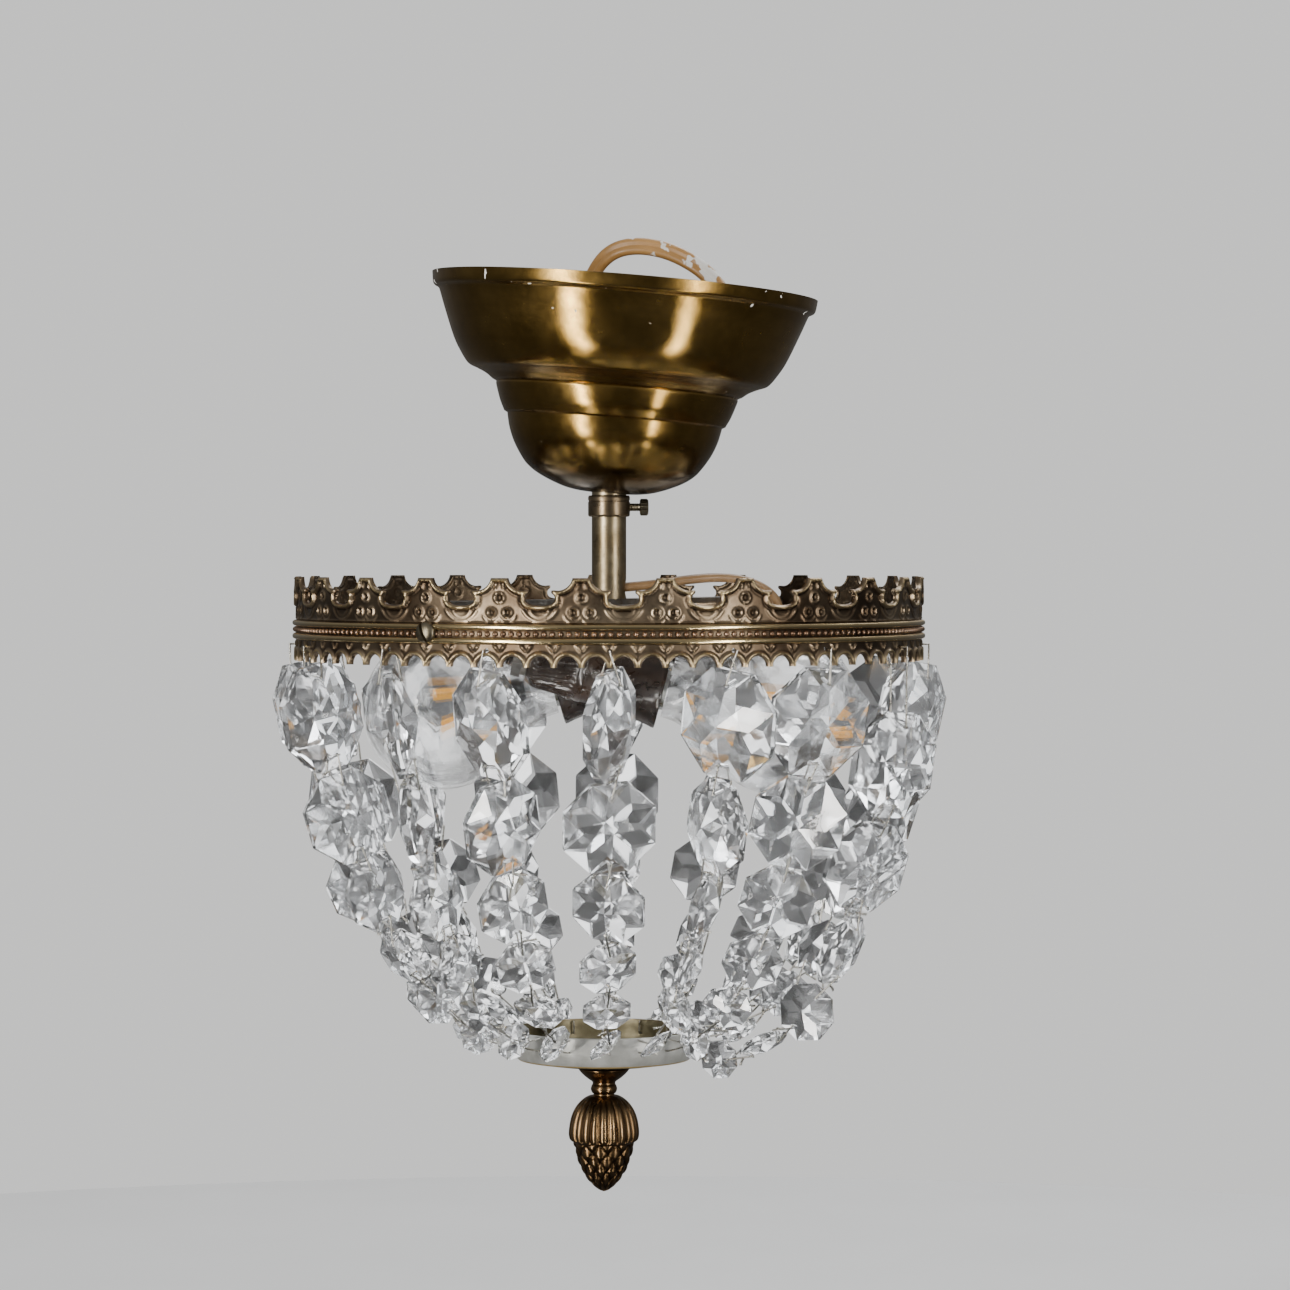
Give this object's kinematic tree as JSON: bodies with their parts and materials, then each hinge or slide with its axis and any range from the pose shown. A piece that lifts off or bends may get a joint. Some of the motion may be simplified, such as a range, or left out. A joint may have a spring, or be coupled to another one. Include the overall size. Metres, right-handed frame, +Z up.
{
  "type": "basket chandelier",
  "caption": "Small basket chandelier: brass canopy and stem, pierced gallery band, strings of cut crystals down to a dish and acorn finial, lamps inside.",
  "frame": {"origin": "centre of the hanging eye on top of the stem", "axes": "+Z up along the stem, -Y towards the side with the nearer lampholder, +X to the right seen from there"},
  "size_m": [0.1833, 0.1913, 0.2606],
  "materials": {
    "canopy_brass": "antique patina, brushed round",
    "stem_brass": "worn antique brass",
    "collar_brass": "dull antique brass",
    "gallery_brass": "stamped antique brass",
    "finial_brass": "cast antique brass",
    "steel_fittings": "zinc plated",
    "holder_bakelite": "moulded brown",
    "contact_brass": "plain",
    "lamp_glass": "clear",
    "lamp_cap_metal": "screw shell",
    "filament_amber": "coated filament",
    "flex_sheath": "beige twin flex",
    "bare_copper": "stripped wire",
    "dish_metal": "pale grey satin",
    "crystal_glass": "cut and polished",
    "pin_wire": "thin drawn wire"
  },
  "bodies": {
    "root": {"stem_tube": "stem_brass", "hanging_loop": "stem_brass", "lock_nuts": "steel_fittings", "spider_bar": "steel_fittings", "lamp_bracket": "steel_fittings", "gallery_band": "gallery_brass", "band_screws": "gallery_brass", "holder_cap_front": "holder_bakelite", "holder_cap_rear": "holder_bakelite", "holder_shell_front": "holder_bakelite", "holder_shell_rear": "holder_bakelite", "contact_sleeves": "contact_brass", "supply_cord": "flex_sheath", "cord_wires": "bare_copper", "lamp_flex": "flex_sheath"},
    "collar": {"slip_collar": "collar_brass"},
    "canopy": {"canopy": "canopy_brass"},
    "thumb_screw": {"thumb_screw": "collar_brass"},
    "lamp_front": {"bulb_glass_front": "lamp_glass", "bulb_cap_front": "lamp_cap_metal", "bulb_filament_front": "filament_amber"},
    "lamp_rear": {"bulb_glass_rear": "lamp_glass", "bulb_cap_rear": "lamp_cap_metal", "bulb_filament_rear": "filament_amber"},
    "dish": {"bottom_dish": "dish_metal", "finial_nut": "steel_fittings"},
    "finial": {"finial": "finial_brass"},
    "string_01": {"crystals_01": "crystal_glass", "pins_01": "pin_wire"},
    "string_02": {"crystals_02": "crystal_glass", "pins_02": "pin_wire"},
    "string_03": {"crystals_03": "crystal_glass", "pins_03": "pin_wire"},
    "string_04": {"crystals_04": "crystal_glass", "pins_04": "pin_wire"},
    "string_05": {"crystals_05": "crystal_glass", "pins_05": "pin_wire"},
    "string_06": {"crystals_06": "crystal_glass", "pins_06": "pin_wire"},
    "string_07": {"crystals_07": "crystal_glass", "pins_07": "pin_wire"},
    "string_08": {"crystals_08": "crystal_glass", "pins_08": "pin_wire"},
    "string_09": {"crystals_09": "crystal_glass", "pins_09": "pin_wire"},
    "string_10": {"crystals_10": "crystal_glass", "pins_10": "pin_wire"},
    "string_11": {"crystals_11": "crystal_glass", "pins_11": "pin_wire"},
    "string_12": {"crystals_12": "crystal_glass", "pins_12": "pin_wire"},
    "string_13": {"crystals_13": "crystal_glass", "pins_13": "pin_wire"},
    "string_14": {"crystals_14": "crystal_glass", "pins_14": "pin_wire"},
    "string_15": {"crystals_15": "crystal_glass", "pins_15": "pin_wire"},
    "string_16": {"crystals_16": "crystal_glass", "pins_16": "pin_wire"}
  },
  "joints": [
    {"name": "collar_slide", "type": "slide", "parent": "root", "child": "collar", "axis": [0, 0, 1], "range_m": [-0.016, 0]},
    {"name": "canopy_lift", "type": "slide", "parent": "collar", "child": "canopy", "axis": [0, 0, 1], "range_m": [0, 0.008]},
    {"name": "thumb_screw_turn", "type": "hinge", "parent": "collar", "child": "thumb_screw", "pos_m": [0.009, 0, -0.0346], "axis": [1, 0, 0], "range_deg": [0, 360]},
    {"name": "lamp_front_turn", "type": "hinge", "parent": "root", "child": "lamp_front", "pos_m": [0.015, -0.014, -0.0825], "axis": [0.9703, 0, -0.2419], "range_deg": [0, 360]},
    {"name": "lamp_rear_turn", "type": "hinge", "parent": "root", "child": "lamp_rear", "pos_m": [-0.015, 0.014, -0.0825], "axis": [-0.9703, 0, -0.2419], "range_deg": [0, 360]},
    {"name": "dish_twist", "type": "hinge", "parent": "root", "child": "dish", "pos_m": [-0.0014, 0, -0.1806], "axis": [0, 0, 1], "range_deg": [-8, 8], "stiffness_Nm_per_rad": 0.03},
    {"name": "finial_turn", "type": "hinge", "parent": "dish", "child": "finial", "pos_m": [-0.0014, 0, -0.1875], "axis": [0, 0, 1], "range_deg": [0, 360]},
    {"name": "string_01_swing", "type": "hinge", "parent": "root", "child": "string_01", "pos_m": [-0.07809, -0.03203, -0.0718], "axis": [-0.9252, -0.3795, 0], "range_deg": [-2.2, 2.2]},
    {"name": "string_02_swing", "type": "hinge", "parent": "root", "child": "string_02", "pos_m": [-0.05581, -0.06331, -0.0718], "axis": [-0.6613, -0.7501, 0], "range_deg": [-2.2, 2.2]},
    {"name": "string_03_swing", "type": "hinge", "parent": "root", "child": "string_03", "pos_m": [-0.03025, -0.07879, -0.0718], "axis": [-0.3584, -0.9336, 0], "range_deg": [-2.2, 2.2]},
    {"name": "string_04_swing", "type": "hinge", "parent": "root", "child": "string_04", "pos_m": [0.00088, -0.08439, -0.0718], "axis": [0.0105, -0.9999, 0], "range_deg": [-2.2, 2.2]},
    {"name": "string_05_swing", "type": "hinge", "parent": "root", "child": "string_05", "pos_m": [0.03216, -0.07803, -0.0718], "axis": [0.3811, -0.9245, 0], "range_deg": [-2.2, 2.2]},
    {"name": "string_06_swing", "type": "hinge", "parent": "root", "child": "string_06", "pos_m": [0.05593, -0.06321, -0.0718], "axis": [0.6626, -0.749, 0], "range_deg": [-2.2, 2.2]},
    {"name": "string_07_swing", "type": "hinge", "parent": "root", "child": "string_07", "pos_m": [0.07649, -0.03567, -0.0718], "axis": [0.9063, -0.4226, 0], "range_deg": [-2.2, 2.2]},
    {"name": "string_08_swing", "type": "hinge", "parent": "root", "child": "string_08", "pos_m": [0.08433, -0.00334, -0.0718], "axis": [0.9992, -0.0396, 0], "range_deg": [-2.2, 2.2]},
    {"name": "string_09_swing", "type": "hinge", "parent": "root", "child": "string_09", "pos_m": [0.07908, 0.0295, -0.0718], "axis": [0.9369, 0.3496, 0], "range_deg": [-2.2, 2.2]},
    {"name": "string_10_swing", "type": "hinge", "parent": "root", "child": "string_10", "pos_m": [0.06153, 0.05776, -0.0718], "axis": [0.7291, 0.6844, 0], "range_deg": [-2.2, 2.2]},
    {"name": "string_11_swing", "type": "hinge", "parent": "root", "child": "string_11", "pos_m": [0.03444, 0.07705, -0.0718], "axis": [0.408, 0.913, 0], "range_deg": [-2.2, 2.2]},
    {"name": "string_12_swing", "type": "hinge", "parent": "root", "child": "string_12", "pos_m": [0.00199, 0.08438, -0.0718], "axis": [0.0236, 0.9997, 0], "range_deg": [-2.2, 2.2]},
    {"name": "string_13_swing", "type": "hinge", "parent": "root", "child": "string_13", "pos_m": [-0.03077, 0.07859, -0.0718], "axis": [-0.3646, 0.9312, 0], "range_deg": [-2.2, 2.2]},
    {"name": "string_14_swing", "type": "hinge", "parent": "root", "child": "string_14", "pos_m": [-0.05875, 0.0606, -0.0718], "axis": [-0.696, 0.718, 0], "range_deg": [-2.2, 2.2]},
    {"name": "string_15_swing", "type": "hinge", "parent": "root", "child": "string_15", "pos_m": [-0.0776, 0.0332, -0.0718], "axis": [-0.9194, 0.3933, 0], "range_deg": [-2.2, 2.2]},
    {"name": "string_16_swing", "type": "hinge", "parent": "root", "child": "string_16", "pos_m": [-0.0844, 0.00063, -0.0718], "axis": [-1, 0.0075, 0], "range_deg": [-2.2, 2.2]}
  ],
  "couplings": [
    {"joint": "string_01_swing", "follows": "dish_twist", "ratio": 0.22978},
    {"joint": "string_02_swing", "follows": "dish_twist", "ratio": 0.22978},
    {"joint": "string_03_swing", "follows": "dish_twist", "ratio": 0.22978},
    {"joint": "string_04_swing", "follows": "dish_twist", "ratio": 0.22978},
    {"joint": "string_05_swing", "follows": "dish_twist", "ratio": 0.22978},
    {"joint": "string_06_swing", "follows": "dish_twist", "ratio": 0.22978},
    {"joint": "string_07_swing", "follows": "dish_twist", "ratio": 0.22978},
    {"joint": "string_08_swing", "follows": "dish_twist", "ratio": 0.22978},
    {"joint": "string_09_swing", "follows": "dish_twist", "ratio": 0.22978},
    {"joint": "string_10_swing", "follows": "dish_twist", "ratio": 0.22978},
    {"joint": "string_11_swing", "follows": "dish_twist", "ratio": 0.22978},
    {"joint": "string_12_swing", "follows": "dish_twist", "ratio": 0.22978},
    {"joint": "string_13_swing", "follows": "dish_twist", "ratio": 0.22978},
    {"joint": "string_14_swing", "follows": "dish_twist", "ratio": 0.22978},
    {"joint": "string_15_swing", "follows": "dish_twist", "ratio": 0.22978},
    {"joint": "string_16_swing", "follows": "dish_twist", "ratio": 0.22978}
  ]
}
